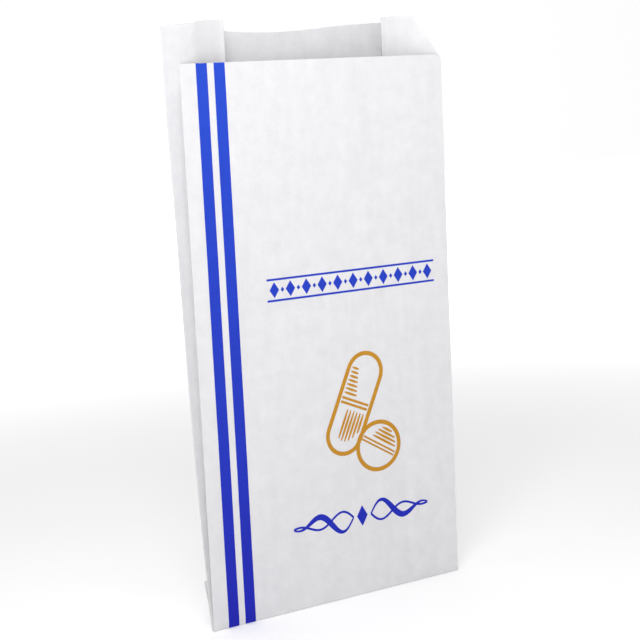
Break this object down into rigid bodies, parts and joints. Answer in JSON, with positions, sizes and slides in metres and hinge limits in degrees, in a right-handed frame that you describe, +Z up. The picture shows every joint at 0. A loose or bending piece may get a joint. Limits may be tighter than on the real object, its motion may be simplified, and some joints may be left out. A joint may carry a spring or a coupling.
{
  "type": "pharmacy paper bag",
  "caption": "White paper prescription bag with inward side gussets, a pinched and folded bottom, a lapped back seam and an open mouth whose front edge is cut lower than the back.",
  "frame": {"origin": "middle of the bottom fold's underside, where the bag stands, in line with the inside face of the back", "axes": "+Z up from the bottom fold to the mouth, +X to the right as seen from the front, +Y to the back, so the front faces -Y"},
  "size_m": [0.127, 0.015, 0.254],
  "materials": {
    "bag_paper": "matte",
    "glue": "satin",
    "blue_ink": "satin",
    "gold_ink": "satin"
  },
  "bodies": {
    "back": {"back_panel_left": "bag_paper", "back_panel_right": "bag_paper", "seam_glue": "glue", "flap_back_ply": "bag_paper", "flap_front_ply": "bag_paper", "flap_left_rear_leaf_ply": "bag_paper", "flap_left_front_leaf_ply": "bag_paper", "flap_glue_left": "glue", "left_rear_leaf_base": "bag_paper", "flap_right_rear_leaf_ply": "bag_paper", "flap_right_front_leaf_ply": "bag_paper", "flap_glue_right": "glue", "right_rear_leaf_base": "bag_paper"},
    "gusset_folds": {"left_gusset_fold": "bag_paper", "right_gusset_fold": "bag_paper"},
    "front": {"front_panel": "bag_paper", "left_front_leaf_base": "bag_paper", "right_front_leaf_base": "bag_paper"},
    "left_rear_leaf": {"left_rear_leaf": "bag_paper"},
    "left_front_leaf": {"left_front_leaf": "bag_paper"},
    "right_rear_leaf": {"right_rear_leaf": "bag_paper"},
    "right_front_leaf": {"right_front_leaf": "bag_paper"}
  },
  "joints": [
    {"name": "gusset_fold_swing", "type": "hinge", "parent": "back", "child": "gusset_folds", "pos_m": [0, -0.00055, 0.0015], "axis": [1, 0, 0], "range_deg": [-1.57, 2.57]},
    {"name": "mouth_opening", "type": "hinge", "parent": "gusset_folds", "child": "front", "pos_m": [0, -0.00055, 0.0015], "axis": [1, 0, 0], "range_deg": [-1.56, 2.56]},
    {"name": "left_rear_leaf_fold", "type": "hinge", "parent": "back", "child": "left_rear_leaf", "pos_m": [-0.0381, -0.00035, 0.0015], "axis": [0.1001, 0, -0.995], "range_deg": [-15.87, 25.93]},
    {"name": "left_front_leaf_fold", "type": "hinge", "parent": "front", "child": "left_front_leaf", "pos_m": [-0.0381, -0.00075, 0.00149], "axis": [-0.1001, -0.0543, 0.9935], "range_deg": [-15.87, 25.93]},
    {"name": "right_rear_leaf_fold", "type": "hinge", "parent": "back", "child": "right_rear_leaf", "pos_m": [0.0381, -0.00035, 0.0015], "axis": [0.1001, 0, 0.995], "range_deg": [-15.87, 25.93]},
    {"name": "right_front_leaf_fold", "type": "hinge", "parent": "front", "child": "right_front_leaf", "pos_m": [0.0381, -0.00075, 0.00149], "axis": [-0.1001, 0.0543, -0.9935], "range_deg": [-15.87, 25.93]}
  ],
  "couplings": [
    {"joint": "gusset_fold_swing", "follows": "mouth_opening", "ratio": 1},
    {"joint": "left_rear_leaf_fold", "follows": "mouth_opening", "ratio": 10.122},
    {"joint": "left_front_leaf_fold", "follows": "mouth_opening", "ratio": 10.122},
    {"joint": "right_rear_leaf_fold", "follows": "mouth_opening", "ratio": 10.122},
    {"joint": "right_front_leaf_fold", "follows": "mouth_opening", "ratio": 10.122}
  ]
}
